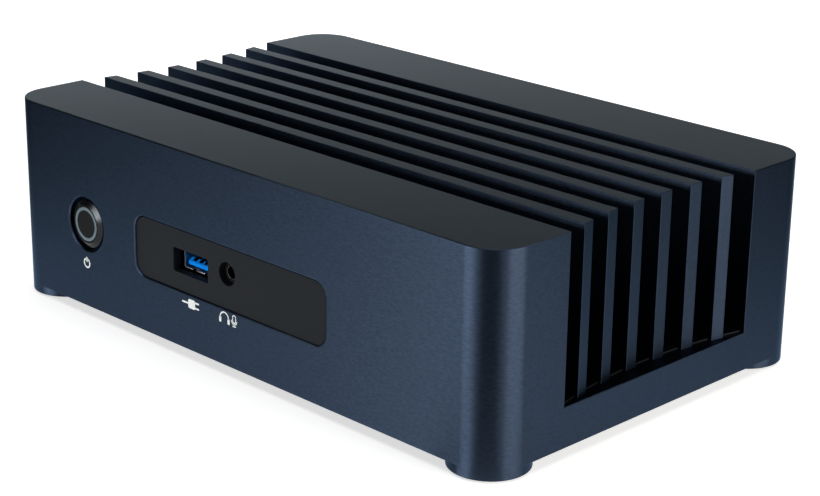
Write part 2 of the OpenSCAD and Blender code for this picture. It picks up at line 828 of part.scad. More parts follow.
module board_screws() color(steel) {
    board_screw_places() translate([0, 0, board_z]) {
        translate([0, 0, -board_screw_head]) difference() {
            cylinder(h = board_screw_head, r = 2 * board_screw_r);
            translate([0, 0, -eps]) cylinder(h = hex_d + eps, r = hex_share * board_screw_r, $fn = 6);
        }
        cylinder(h = board_t + screw_grip, r = board_screw_r - thread_gap);
    }
}

module processor() color(black) {
    translate([0, chip_y, board_top]) standing(chip_w, chip_d, chip_base_t);
    translate([0, chip_y, board_top + chip_base_t]) standing(die_w, die_d, chip_die_t);
}

module thermal_pad() color(pad_grey) {
    translate([0, chip_y, thermal_z]) standing(die_w, die_d, thermal_t);
}

module heat_block() color(copper) {
    translate([0, chip_y, heat_block_z])
        linear_extrude(heat_block_t) rounded_rect(heat_block_w, heat_block_d, heat_block_r);
}

// Middle of a memory socket's bar and of its module's edge, one behind the other and lower
function socket_y(i) = memory_y - i * socket_step;
function module_z(i) = board_z - memory_drop - i * memory_pitch;
function module_d(i) = memory_d + i * socket_step;

// A bar with a slot for the module's edge, and a latch arm beside each end of the module
module memory_sockets() color(black) {
    for (i = [0, 1]) {
        bottom = module_z(i) - memory_t;
        difference() {
            translate([0, socket_y(i), board_z])
                hanging(memory_w + 2 * socket_end, socket_bar, board_z - bottom);
            translate([0, socket_y(i) + socket_bar / 2, module_z(i) + memory_t / 2 + fit_gap])
                hanging(memory_w + 2 * fit_gap, socket_grip + 2 * fit_gap, memory_t + 2 * fit_gap);
        }
        for (side = [-1, 1])
            translate([side * (memory_w / 2 + latch_gap + i * (latch_t + socket_gap)), socket_y(i), bottom])
                translate([-latch_t / 2, socket_bar / 2, 0])
                    cube([latch_t, module_d(i) - socket_grip, board_z - bottom]);
    }
}

// Modules with a row of memory chips on each face
module memory_modules() color(board_green) {
    for (i = [0, 1]) translate([0, socket_y(i) + (socket_bar - socket_grip) / 2, module_z(i)]) {
        translate([-memory_w / 2, 0, -memory_t / 2]) cube([memory_w, module_d(i), memory_t]);
        for (c = [-1.5 : 1 : 1.5], face = [0, 1])
            translate([c * memory_chip_pitch, module_d(i) / 2, 0]) mirror([0, 0, face])
                standing(memory_chip[0], memory_chip[1], memory_t / 2 + memory_chip[2]);
    }
}

// A socket for a plug-in card, with a slot for the card's edge
module card_socket() {
    difference() {
        hanging(card_socket_l, card_w, card_drop + card_t + chip_h / 2);
        translate([-card_socket_l / 2, 0, -card_drop + card_t / 2 + fit_gap])
            hanging(card_socket_l, card_w - 2 * card_edge + 2 * fit_gap, card_t + 2 * fit_gap);
    }
}

// A plug-in card that runs from its socket edge to the left. Its chips hang underneath, each given by
// its distance from that edge, its width and its depth.
module card(l, chips) {
    translate([-l, -card_w / 2 + card_edge, -card_t / 2]) cube([l, card_w - 2 * card_edge, card_t]);
    for (c = chips) translate([-c[0], 0, -card_t / 2 + eps]) hanging(c[1], c[2], chip_h + eps);
}

// A post under the board with a screw whose head holds the end of a card
module card_screw() {
    translate([0, 0, -card_drop + card_t / 2]) cylinder(h = card_drop - card_t / 2, r = post_r);
    translate([0, 0, -card_drop - card_t / 2 - post_head]) cylinder(h = post_head, r = post_r);
}

module drive_socket() color(black) {
    translate([drive_x + drive_l / 2, drive_y, board_z]) card_socket();
}

module storage_drive() color(card_black) {
    translate([drive_x + drive_l / 2, drive_y, card_z]) card(drive_l, drive_chips);
}

module drive_screw() color(steel) {
    translate([drive_x - drive_l / 2 + post_r, drive_y, board_z]) card_screw();
}

module wireless_socket() color(black) {
    translate([wireless_x + wireless_l / 2, wireless_y, board_z]) card_socket();
}

module wireless_card() color(card_black) {
    translate([wireless_x + wireless_l / 2, wireless_y, card_z]) card(wireless_l, wireless_chips);
}

module wireless_screw() color(steel) {
    translate([wireless_x - wireless_l / 2 + post_r, wireless_y, board_z]) card_screw();
}

// A flat antenna on the back of the plastic port plate
module antenna() color(gold) {
    translate([antenna_x, front_y + plate_recess + plate_t, antenna_z])
        backward(antenna_t) square([antenna_w, antenna_h], center = true);
}

// Thin coaxial lead from the antenna to the underside of the wireless card
module antenna_lead() color(black) {
    tube(eased([antenna_x, front_y + plate_recess + plate_t + antenna_t, antenna_z],
        [lead_x, lead_y, lead_z], [0, lead_stub, 0]), lead_d / 2);
}

// A cup for the coin cell, open at two sides for the fingers
module cell_holder() color(black) {
    translate([cell_x, cell_y, board_top]) difference() {
        cylinder(h = cell_floor + cell_t, r = cell_r + cell_wall);
        translate([0, 0, cell_floor]) cylinder(h = cell_t + eps, r = cell_r + fit_gap);
        translate([0, 0, cell_floor + cell_t / 2]) standing(cell_r, 3 * cell_r, cell_t);
    }
}

module coin_cell() color(silver) {
    translate([cell_x, cell_y, board_top + cell_floor]) cylinder(h = cell_t, r = cell_r);
}

module power_chokes() color(choke_grey) {
    for (i = [-1.5 : 1 : 1.5])
        translate([choke_x, chip_y + i * choke_pitch, board_top]) standing(choke_w, choke_w, choke_h);
}

module filter_capacitors() color(silver) {
    for (i = [0 : 3])
        translate([capacitor_x + i * capacitor_pitch, capacitor_y, board_top])
            cylinder(h = capacitor_h, r = capacitor_r);
}

// Sheet metal shell of a data port, open at the front and closed at the back, with two slots in the
// front edge of its floor
module usb_shell() {
    difference() {
        backward(usb_l) rounded_rect(usb_w, usb_h, usb_r);
        translate([0, -eps, 0]) backward(usb_l - shell_t + eps)
            rounded_rect(usb_w - 2 * shell_t, usb_h - 2 * shell_t, usb_inner_r);
        for (x = [-lip_slot_x, lip_slot_x]) translate([x - lip_slot_w / 2, -eps, -usb_h / 2 - eps])
            cube([lip_slot_w, lip_slot_l + eps, shell_t + 2 * eps]);
    }
}

// Plastic tongue with a groove for each contact, on the block that fills the back of the shell
module usb_tongue() {
    block_at = tongue_set + tongue_l;
    tongue_w = usb_w - 2 * tongue_side;
    difference() {
        union() {
            translate([-tongue_w / 2, tongue_set, -tongue_drop - tongue_t / 2])
                cube([tongue_w, tongue_l + eps, tongue_t]);
            translate([0, block_at, 0]) backward(usb_l - shell_t - block_at)
                rounded_rect(usb_w - 2 * shell_t, usb_h - 2 * shell_t, usb_inner_r);
        }
        usb_contact_places() translate([0, groove_set, 0])
            cube([contact_w + 2 * groove_gap, tongue_l - groove_set, groove_d + eps]);
    }
}

// Low corners of the four grooves on the upper face of the tongue
module usb_contact_places() {
    groove_z = tongue_t / 2 - tongue_drop - groove_d;
    for (x = usb_pins)
        translate([x - contact_w / 2 - groove_gap, tongue_set, groove_z]) children();
}

module usb_contacts() {
    usb_contact_places() translate([groove_gap, contact_set, 0]) cube([contact_w, contact_l, contact_h]);
}

module front_usb_shell() color(silver) {
    translate([usb_x, port_y, usb_z]) usb_shell();
}

module front_usb_tongue() color(port_blue) {
    translate([usb_x, port_y, usb_z]) usb_tongue();
}

module front_usb_contacts() color(gold) {
    translate([usb_x, port_y, usb_z]) usb_contacts();
}

// Jack body sunk through the board, with a round nose that stands towards its hole in the plate
module audio_jack() color(black) {
    nose_l = front_y + wall_t + jack_nose_gap - port_y;
    translate([jack_x, port_y, jack_z]) difference() {
        union() {
            bar_y(jack_nose_r, jack_l);
            translate([-jack_body_w / 2, nose_l, -jack_nose_r])
                cube([jack_body_w, jack_l - nose_l, 2 * jack_nose_r]);
        }
        translate([0, -eps, 0]) bar_y(jack_bore_r, jack_l - jack_floor + eps);
    }
}

module inlet_body() color(black) {
    at_rear(inlet_x, inlet_z) difference() {
        backward(inlet_l) square([inlet_w, inlet_h], center = true);
        translate([0, -eps, 0]) bar_y(inlet_bore_r, inlet_bore_l + eps);
    }
}

module inlet_pin() color(silver) {
    at_rear(inlet_x, inlet_z) translate([0, inlet_pin_set, 0])
        bar_y(inlet_pin_r, inlet_bore_l - inlet_pin_set);
}

// Outline of the video port, with its two lower corners cut away
module video_outline(w, h) {
    polygon([[-w / 2, h / 2], [-w / 2, video_cut - h / 2], [video_cut - w / 2, -h / 2],
        [w / 2 - video_cut, -h / 2], [w / 2, video_cut - h / 2], [w / 2, h / 2]]);
}

module video_port_shell() color(silver) {
    at_rear(video_x, video_z) difference() {
        backward(video_l) video_outline(video_w, video_h);
        translate([0, -eps, 0]) backward(video_l - shell_t + eps)
            video_outline(video_w - 2 * shell_t, video_h - 2 * shell_t);
    }
}

module video_port_tongue() color(black) {
    at_rear(video_x, video_z) {
        translate([-video_tongue[0] / 2, video_tongue_set, 0]) cube(video_tongue);
        translate([0, video_l - video_block, 0]) backward(video_block - shell_t)
            video_outline(video_w - 2 * shell_t, video_h - 2 * shell_t);
    }
}

module network_jack_shell() color(silver) {
    at_rear(net_x, net_z) difference() {
        backward(net_l) square([net_w, net_h], center = true);
        translate([0, -eps, 0]) backward(net_l - shell_t + eps)
            square([net_w - 2 * shell_t, net_h - 2 * shell_t], center = true);
    }
}

// The plug's way in, with the stepped notch for its latch
module network_mouth() {
    for (step = net_mouth)
        translate([-step[0] / 2, step[1]]) square([step[0], step[2] - step[1]]);
}

module network_jack_insert() color(black) {
    at_rear(net_x, net_z) difference() {
        translate([0, net_set, 0]) backward(net_l - shell_t - net_set)
            square([net_w - 2 * shell_t, net_h - 2 * shell_t], center = true);
        translate([0, -eps, 0]) backward(net_mouth_l) network_mouth();
    }
}

module network_jack_contacts() color(gold) {
    at_rear(net_x, net_z) for (i = [0 : net_pin_n - 1])
        translate([(i - (net_pin_n - 1) / 2) * net_pin_pitch, net_pin_set, net_mouth[0][2] - net_pin_t])
            translate([-net_pin_t / 2, 0, 0]) cube([net_pin_t, net_pin_l, net_pin_t]);
}

// The two data ports side by side on the back
module at_rear_usb() {
    for (i = [0, 1]) at_rear(rear_usb_x - i * rear_usb_pitch, rear_usb_z) children();
}

module rear_usb_shells() color(silver) {
    at_rear_usb() usb_shell();
}

module rear_usb_tongues() color(port_blue) {
    at_rear_usb() usb_tongue();
}

module rear_usb_contacts() color(gold) {
    at_rear_usb() usb_contacts();
}

module oval_port_shell() color(silver) {
    at_rear(oval_x, oval_z) difference() {
        backward(oval_l) rounded_rect(oval_w, oval_h, oval_r);
        translate([0, -eps, 0]) backward(oval_l - shell_t + eps)
            rounded_rect(oval_w - 2 * shell_t, oval_h - 2 * shell_t, oval_r - shell_t);
    }
}

module oval_port_tongue() color(black) {
    at_rear(oval_x, oval_z) {
        translate([-oval_tongue[0] / 2, oval_tongue_set, -oval_tongue[2] / 2]) cube(oval_tongue);
        translate([0, oval_l - oval_block, 0]) backward(oval_block - shell_t)
            rounded_rect(oval_w - 2 * shell_t, oval_h - 2 * shell_t, oval_r - shell_t);
    }
}

case_body();
bottom_cover();
cover_screws();
foot_pads();
front_port_plate();
rear_port_plate();
switch_body();
switch_nut();
switch_seal();
button_cap();
light_ring();
button_plunger();
return_spring();
switch_contacts();
switch_plug();
switch_cable();
switch_header();
main_board();
board_screws();
processor();
thermal_pad();
heat_block();
memory_sockets();
memory_modules();
drive_socket();
storage_drive();
drive_screw();
wireless_socket();
wireless_card();
wireless_screw();
antenna();
antenna_lead();
cell_holder();
coin_cell();
power_chokes();
filter_capacitors();
front_usb_shell();
front_usb_tongue();
front_usb_contacts();
audio_jack();
inlet_body();
inlet_pin();
video_port_shell();
video_port_tongue();
network_jack_shell();
network_jack_insert();
network_jack_contacts();
rear_usb_shells();
rear_usb_tongues();
rear_usb_contacts();
oval_port_shell();
oval_port_tongue();
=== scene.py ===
# %% [markdown]
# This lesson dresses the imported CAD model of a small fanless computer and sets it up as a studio
# picture. The case is one block of dark blue aluminium whose fins carry the heat away, so the whole
# look hangs on one finish: brushed, anodised metal with thin broken edges that catch the light.
# The CAD solids give the sizes and the places. Blender adds the broken edges, some small forms, the
# printed signs, the finishes and the light.

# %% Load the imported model
import json
import math

import bmesh
import bpy
from mathutils import Matrix, Vector

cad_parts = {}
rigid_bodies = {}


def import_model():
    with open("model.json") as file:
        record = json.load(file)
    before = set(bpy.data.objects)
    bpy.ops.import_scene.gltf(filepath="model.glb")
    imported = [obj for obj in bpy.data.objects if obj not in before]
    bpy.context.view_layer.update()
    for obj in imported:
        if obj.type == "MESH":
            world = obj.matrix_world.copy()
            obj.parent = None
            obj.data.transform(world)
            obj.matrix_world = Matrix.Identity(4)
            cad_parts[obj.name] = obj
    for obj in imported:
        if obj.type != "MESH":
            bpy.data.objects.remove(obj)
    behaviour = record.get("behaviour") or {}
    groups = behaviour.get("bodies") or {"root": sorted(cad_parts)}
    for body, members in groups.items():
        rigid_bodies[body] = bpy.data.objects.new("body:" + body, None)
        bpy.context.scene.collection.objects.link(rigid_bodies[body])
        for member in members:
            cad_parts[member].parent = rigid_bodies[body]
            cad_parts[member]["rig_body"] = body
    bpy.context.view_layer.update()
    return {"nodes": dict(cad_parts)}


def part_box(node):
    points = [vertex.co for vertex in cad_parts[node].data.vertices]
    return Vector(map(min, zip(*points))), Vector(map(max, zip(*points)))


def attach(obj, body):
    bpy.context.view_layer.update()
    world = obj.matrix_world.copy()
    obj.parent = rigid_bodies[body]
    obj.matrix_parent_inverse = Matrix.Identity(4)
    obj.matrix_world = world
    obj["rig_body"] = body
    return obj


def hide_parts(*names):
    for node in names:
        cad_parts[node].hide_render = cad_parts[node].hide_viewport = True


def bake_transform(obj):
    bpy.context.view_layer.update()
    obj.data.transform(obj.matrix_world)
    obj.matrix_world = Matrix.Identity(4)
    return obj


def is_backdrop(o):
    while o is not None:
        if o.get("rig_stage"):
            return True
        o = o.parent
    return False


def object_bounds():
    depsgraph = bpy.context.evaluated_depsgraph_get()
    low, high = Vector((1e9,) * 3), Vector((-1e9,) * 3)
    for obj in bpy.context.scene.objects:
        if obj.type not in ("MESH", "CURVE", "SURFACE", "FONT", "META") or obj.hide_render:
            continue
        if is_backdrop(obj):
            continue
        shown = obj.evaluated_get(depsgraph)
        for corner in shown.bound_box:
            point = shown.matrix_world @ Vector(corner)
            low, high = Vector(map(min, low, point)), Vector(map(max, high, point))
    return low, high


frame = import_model()
MM = 0.001

# %% [markdown]
# The camera looks down on the front right corner from a little above. Its place, its lens and its
# three axes were fitted to edges of the case, and they are written here as plain numbers. A small
# shift moves the picture on the film without turning the camera, which keeps the uprights right.

# %% The camera
EYE = Vector((0.38084, -0.37507, 0.20649))
RIGHT, UP, BACK = (0.7073, 0.7067, 0.0142), (-0.2386, 0.2199, 0.9459), (0.6654, -0.6724, 0.3242)
film = bpy.data.cameras.new("camera")
film.sensor_width, film.lens = 36, 88.49
film.shift_x, film.shift_y = -0.0102, -0.0066
camera = bpy.data.objects.new("camera", film)
camera.matrix_world = Matrix.Translation(EYE) @ Matrix((RIGHT, UP, BACK)).transposed().to_4x4()
bpy.context.collection.objects.link(camera)
bpy.context.scene.camera = camera
print("camera:", round(EYE.length, 3), "m from the origin, lens", film.lens, "mm")

# %% [markdown]
# Every finish starts from the same few steps: a noise on the piece's own Object coordinates, stretched
# if the real surface has a direction, which then shifts the colour, the roughness and the surface's
# height a little. Most of the noise lies between two values, and the shifts run between those. A few
# small helpers keep these steps in one place, so a finish reads as a short list of decisions. Values
# that are the same all over a surface go straight onto the shader's sockets.

# %% Helpers for nodes and grain
def put(tree, kind, *values, **settings):
    """Adds a node, sets its options and fills its inputs in order, with links or plain values."""
    node = tree.nodes.new("ShaderNode" + kind)
    for name, value in settings.items():
        setattr(node, name, value)
    for socket, value in zip(node.inputs, values):
        if isinstance(value, bpy.types.NodeSocket):
            tree.links.new(value, socket)
        elif value is not None:
            socket.default_value = value
    return node


def new_finish(name, metallic=0.0, gloss=0.5):
    """A material with its node tree and its main shader."""
    material = bpy.data.materials.new(name)
    material.use_nodes = True
    shader = material.node_tree.nodes["Principled BSDF"]
    shader.inputs["Metallic"].default_value = metallic
    shader.inputs["Specular IOR Level"].default_value = gloss
    return material, material.node_tree, shader


def grain(tree, size_mm, stretch=(1, 1, 1), detail=3.0):
    """Noise with grains of about that size, on Object coordinates."""
    place = put(tree, "TexCoord").outputs["Object"]
    place = put(tree, "Mapping", place, None, None, stretch).outputs["Vector"]
    return put(tree, "TexNoise", place, None, 1 / (size_mm * MM), detail).outputs["Fac"]


print("helpers ready: put, new_finish and grain")

# %% From a grain to a finish
NOISE_LOW, NOISE_HIGH = 0.3, 0.7


def colour_between(tree, shader, fac, dark, light):
    """The base colour runs from dark to light with the grain."""
    ramp = put(tree, "ValToRGB", fac)
    for stop, at, colour in zip(ramp.color_ramp.elements, (NOISE_LOW, NOISE_HIGH), (dark, light)):
        stop.position, stop.color = at, (*colour, 1)
    tree.links.new(ramp.outputs["Color"], shader.inputs["Base Color"])


def rough_between(tree, shader, fac, low, high):
    """The roughness runs from low to high with the grain."""
    span = put(tree, "MapRange", fac, NOISE_LOW, NOISE_HIGH, low, high)
    tree.links.new(span.outputs["Result"], shader.inputs["Roughness"])


def raised(tree, shader, fac, height_mm):
    """The grain lifts the surface by that height."""
    bump = put(tree, "Bump")
    bump.inputs["Distance"].default_value = height_mm * MM
    tree.links.new(fac, bump.inputs["Height"])
    tree.links.new(bump.outputs["Normal"], shader.inputs["Normal"])


def grained(name, size_mm, dark, light, rough, height_mm, metallic=0.0, gloss=0.5):
    """A whole finish from one grain: colour, roughness and height."""
    material, tree, shader = new_finish(name, metallic, gloss)
    fac = grain(tree, size_mm)
    colour_between(tree, shader, fac, dark, light)
    rough_between(tree, shader, fac, *rough)
    raised(tree, shader, fac, height_mm)
    return material


print("a grain shifts a finish between", NOISE_LOW, "and", NOISE_HIGH, "of its noise")

# %% [markdown]
# The case is rubbed down before it is anodised, along the walls and along the length of the top. Each
# scratch is a tiny groove, so the metal blurs a reflection across the scratches far more than along
# them. The shader's anisotropy does that, and a Tangent node tells it which way the grooves run:
# round the upright axis on the walls, and from side to side on the top. The grooves show as short
# streaks, made by one noise that is stretched along the rubbing: a little on the walls, and more on the
# top. The tint sets how much lighter the metal gets where it is seen at a low angle: the top is seen
# that way, and turns grey.

# %% The anodised metal
STREAK_MM, STREAK_HEIGHT_MM, ROUGH_SPREAD, DIRECTED = 0.4, 0.003, 0.02, 0.92


def brushed(name, dark, light, stretch, axis, turn, rough, tint):
    """Dark blue anodised metal with fine grooves along an axis, or round it after a quarter turn."""
    material, tree, shader = new_finish(name, metallic=1.0)
    streaks = grain(tree, STREAK_MM, stretch, detail=4.0)
    colour_between(tree, shader, streaks, dark, light)
    rough_between(tree, shader, streaks, rough - ROUGH_SPREAD, rough + ROUGH_SPREAD)
    raised(tree, shader, streaks, STREAK_HEIGHT_MM)
    shader.inputs["Anisotropic"].default_value = DIRECTED
    shader.inputs["Anisotropic Rotation"].default_value = turn
    shader.inputs["Specular Tint"].default_value = (*tint, 1)
    grooves = put(tree, "Tangent", direction_type="RADIAL", axis=axis)
    tree.links.new(grooves.outputs["Tangent"], shader.inputs["Tangent"])
    return material


brushed_walls = brushed(
    "brushed_walls", dark=(0.0285, 0.0415, 0.0665), light=(0.042, 0.0605, 0.0965),
    stretch=(0.3, 0.3, 1), axis="Z", turn=0.25, rough=0.44, tint=(0.62, 0.76, 0.95))
brushed_tops = brushed(
    "brushed_tops", dark=(0.022, 0.029, 0.039), light=(0.034, 0.044, 0.058),
    stretch=(0.12, 1, 1), axis="X", turn=0.0, rough=0.32, tint=(0.74, 0.81, 0.85))
print("made", brushed_walls.name, "and", brushed_tops.name)

# %% [markdown]
# The other finishes are the ones that such a computer is built from: moulded plastics, plated sheet
# metal, turned steel, rubber and board laminate. Each is named after the material slot that the CAD
# record gives its pieces, so one table can hand them out. A row gives the size of the grain, the two
# colours, the roughness, the height of the grain, and then how metallic and how glossy it is. One more,
# a matt black coat, has no slot of its own. The cap of the button wears it, and so does the audio jack,
# where its deeper black is also painted shade that stands in for the shade in the jack's hole.

# %% The other finishes
TABLE = {
    "anodised_cover": (0.3, (0.03, 0.032, 0.036), (0.04, 0.042, 0.047), (0.42, 0.55), 0.01, 1.0),
    "plate_plastic": (
        0.25, (0.008, 0.0102, 0.013), (0.0104, 0.013, 0.0165), (0.5, 0.6), 0.004, 0.0, 0.08),
    "screw_steel": (0.2, (0.05, 0.05, 0.052), (0.075, 0.075, 0.078), (0.3, 0.42), 0.004, 1.0),
    "foot_rubber": (0.4, (0.008, 0.008, 0.009), (0.017, 0.017, 0.018), (0.7, 0.9), 0.02, 0.0, 0.3),
    "switch_metal": (1.5, (0.022, 0.024, 0.0262), (0.025, 0.027, 0.0295), (0.2, 0.22), 0.0, 1.0),
    "ring_plastic": (0.4, (0.1, 0.143, 0.17), (0.123, 0.173, 0.203), (0.4, 0.5), 0.003, 0.0, 0.25),
    "spring_steel": (0.2, (0.5, 0.5, 0.5), (0.62, 0.62, 0.62), (0.2, 0.35), 0.003, 1.0),
    "black_plastic": (0.3, (0.008, 0.008, 0.009), (0.014, 0.014, 0.015), (0.35, 0.5), 0.005, 0.0, 0.4),
    "ivory_plastic": (0.4, (0.68, 0.62, 0.47), (0.76, 0.7, 0.56), (0.4, 0.5), 0.005),
    "cable_sheath": (0.5, (0.01, 0.01, 0.011), (0.018, 0.018, 0.019), (0.5, 0.65), 0.01),
    "board_laminate": (1.2, (0.01, 0.05, 0.03), (0.02, 0.09, 0.055), (0.3, 0.45), 0.02),
    "card_laminate": (1.0, (0.01, 0.014, 0.02), (0.02, 0.027, 0.036), (0.3, 0.45), 0.02),
    "chip_black": (0.4, (0.009, 0.009, 0.01), (0.018, 0.018, 0.02), (0.45, 0.6), 0.006),
    "thermal_grey": (0.6, (0.36, 0.37, 0.38), (0.46, 0.47, 0.48), (0.7, 0.85), 0.02),
    "heat_copper": (0.3, (0.58, 0.28, 0.15), (0.72, 0.38, 0.22), (0.25, 0.4), 0.004, 1.0),
    "capacitor_can": (0.3, (0.55, 0.56, 0.57), (0.68, 0.69, 0.7), (0.25, 0.35), 0.003, 1.0),
    "contact_gold": (0.2, (0.6, 0.42, 0.14), (0.75, 0.54, 0.2), (0.22, 0.35), 0.002, 1.0),
    "port_shell": (0.3, (0.4, 0.4, 0.39), (0.52, 0.52, 0.5), (0.28, 0.4), 0.003, 1.0),
    "port_blue": (0.3, (0.001, 0.24, 0.9), (0.002, 0.29, 1.0), (0.5, 0.6), 0.003, 0.0, 0.05),
}
finishes = {slot: grained(slot, *row) for slot, row in TABLE.items()}
finishes["anodised_case"] = brushed_walls
black_coat_and_hole_shade = grained(
    "black_coat_and_hole_shade", 0.3, (0.0045, 0.005, 0.0056), (0.006, 0.0066, 0.0074), (0.4, 0.5), 0.001, gloss=0.06)
for node in frame["nodes"].values():
    node["slot"] = node.data.materials[0].name.split(".")[0]
    node.data.materials[0] = finishes[node["slot"]]
print("finishes:", len(finishes), "slots on", len(frame["nodes"]), "nodes")

# %% [markdown]
# A machined or moulded edge is never perfectly sharp: the case's edges are broken by a fraction of a
# millimetre, and that thin strip is what draws a bright line round every fin. A CAD mesh is loose
# triangles, so a copy is merged, its flat areas are joined back into single faces, and only the sharp
# edges that point outwards are bevelled, each by its own share of the widest strip. Weighted normals
# then let the big flat faces keep their own direction, so that reflections stay straight right up to
# the rounded strip.

# %% Make a piece of a bmesh
SMOOTH = math.radians(40)


def as_piece(name, bm, material, body, stands_for=None):
    """Makes a smooth shaded piece of a bmesh, with hard corners left hard, that can ride on a body."""
    for face in bm.faces:
        face.smooth = True
    for edge in bm.edges:
        edge.smooth = edge.calc_face_angle(0) < SMOOTH
    mesh = bpy.data.meshes.new(name)
    bm.to_mesh(mesh)
    bm.free()
    mesh.materials.append(material)
    piece = bpy.data.objects.new(name, mesh)
    bpy.context.collection.objects.link(piece)
    weigh = piece.modifiers.new("weigh", "WEIGHTED_NORMAL")
    weigh.keep_sharp = True
    with bpy.context.temp_override(object=piece, active_object=piece):
        bpy.ops.object.modifier_apply(modifier=weigh.name)
    if body:
        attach(piece, body)
    if stands_for:
        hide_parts(stands_for)
    return piece


print("edges under", round(math.degrees(SMOOTH)), "degrees are shaded smooth")

# %% Round the edges of a copy of a CAD node
SHARP, FLAT = math.radians(28), math.radians(0.4)
WIDEST_MM, MERGE = 0.5, 0.001 * MM


def rounded_copy(name, edge_mm, segments=2, clamp=True, cut=None, rides=True):
    """A new piece in the place of a CAD node, which a function may cut first. The strip on a sharp edge
    is as wide as a number says, or a function of the edge's middle."""
    node = frame["nodes"][name]
    bm = bmesh.new()
    bm.from_mesh(node.data)
    bmesh.ops.remove_doubles(bm, verts=bm.verts, dist=MERGE)
    bmesh.ops.dissolve_limit(bm, angle_limit=FLAT, verts=bm.verts, edges=bm.edges)
    if cut:
        cut(bm)
    share = bm.edges.layers.float.new("bevel_weight_edge")
    for edge in bm.edges:
        if edge.is_manifold and edge.is_convex and edge.calc_face_angle() > SHARP:
            middle = (edge.verts[0].co + edge.verts[1].co) / 2
            edge[share] = (edge_mm(middle) if callable(edge_mm) else edge_mm) / WIDEST_MM
    blank = bpy.data.objects.new(name, bpy.data.meshes.new(name))
    bm.to_mesh(blank.data)
    bm.clear()
    bpy.context.collection.objects.link(blank)
    strips = blank.modifiers.new("strips", "BEVEL")
    strips.limit_method, strips.width, strips.segments = "WEIGHT", WIDEST_MM * MM, segments
    strips.use_clamp_overlap = clamp
    bm.from_object(blank, bpy.context.evaluated_depsgraph_get())
    bpy.data.objects.remove(blank)
    bmesh.ops.dissolve_degenerate(bm, dist=MERGE, edges=bm.edges)
    body = node["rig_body"] if rides else None
    return as_piece(name + "_finished", bm, node.data.materials[0], body, name)


print("edges sharper than", round(math.degrees(SHARP)), "degrees get rounded")

# %% [markdown]
# The case comes first. The long edge over the front and the plates' pockets get the widest strip, the
# fins a narrow one, and the mouth of the button's recess only a trace, because the CAD model has its
# bevel already. The edges inside the chamber stay as they are, since nobody sees them. The walls and
# the level faces are rubbed in different directions, so each kind has its own finish: a face that looks
# up or down takes the one for the tops. The low steps on the floors of the slots, which no tool rubs,
# take the plain finish of the bottom cover.

# %% Where the edges of the case are
CHAMBER, HEAT, SWITCH, FRONT, REAR = (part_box(name) for name in (
    "bottom_cover", "heat_block", "switch_body", "front_port_plate", "rear_port_plate"))
CASE_LOW, CASE_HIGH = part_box("case_body")
FIN_FIELD, SLOT_FLOOR, FLOOR_STEP = 36 * MM, 14.2 * MM, 0.3 * MM
WALL_GAP, RECESS_GAP, POCKET_GAP, LEVEL_GAP = 0.4 * MM, 2 * MM, 0.5 * MM, 0.1 * MM
STRIPS = {"pocket": 0.45, "front_top": 0.42, "block_top": 0.28, "plain": 0.24, "fin_end": 0.14,
          "fin_top": 0.1, "recess": 0.06, "none": 0}


def near(point, box, margin, axes):
    """Whether a point lies within a margin of a box, along some of the axes."""
    low, high = box
    return all(low[k] - margin < point[k] < high[k] + margin for k in axes)


def on_slot_floor(point):
    """Whether a point lies at the height of the slots' floors, between the solid blocks."""
    return abs(point.z - SLOT_FLOOR) < FLOOR_STEP and abs(point.y) < FIN_FIELD


def case_edge(middle):
    """How wide the strip on an edge of the case is, in millimetres."""
    among_fins = abs(middle.y) < FIN_FIELD
    if near(middle, CHAMBER, WALL_GAP, (0, 1)) and middle.z < HEAT[1].z + WALL_GAP:
        return STRIPS["none"]
    if abs(middle.y) > CHAMBER[1].y + WALL_GAP:
        if middle.y < 0 and near(middle, SWITCH, RECESS_GAP, (0, 2)):
            return STRIPS["recess"]
        if near(middle, FRONT if middle.y < 0 else REAR, POCKET_GAP, (0, 2)):
            return STRIPS["pocket"]
    if on_slot_floor(middle):
        return STRIPS["none"]
    if middle.z > CASE_HIGH.z - LEVEL_GAP:
        if among_fins:
            return STRIPS["fin_top"]
        return STRIPS["front_top" if middle.y < CASE_LOW.y + LEVEL_GAP else "block_top"]
    if among_fins and middle.z > SLOT_FLOOR:
        return STRIPS["fin_end"]
    return STRIPS["plain"]


print("strips on the case:", STRIPS)

# %% The case
LEVEL, TOP_FINISH, STEP_FINISH = 0.9, 1, 2
case = rounded_copy("case_body", case_edge, segments=3, clamp=False)
case.data.materials.append(brushed_tops)
case.data.materials.append(finishes["anodised_cover"])
for face in case.data.polygons:
    if abs(face.normal.z) > LEVEL:
        face.material_index = TOP_FINISH
    elif on_slot_floor(face.center):
        face.material_index = STEP_FINISH
level = sum(face.material_index == TOP_FINISH for face in case.data.polygons)
print("case:", len(case.data.polygons), "faces,", level, "of them level")

# %% [markdown]
# The smaller pieces that show get the same treatment, each with an edge that suits how it is made: the
# rubber feet and the bottom cover are rounder, and thin plates and folded sheet metal have almost no
# radius at all. Two of them change a little before that. The tongue of the front data port is cut at a
# slant along its upper front edge, as it is on real ports, to guide a plug in. One slice with a plane
# makes that cut, and it opens the ends of the grooves for the contacts. The round nose of the audio
# jack is drawn out into its hole in the plate.

# %% Change two of the shapes
LEAD_IN, LEAD_DROP, NOSE_REACH, TOUCH = 1.3 * MM, 0.8 * MM, 1.5 * MM, 0.01 * MM


def front_end(bm):
    """How far to the front a mesh reaches, and its points there."""
    front = min(v.co.y for v in bm.verts)
    return front, [v for v in bm.verts if v.co.y < front + TOUCH]


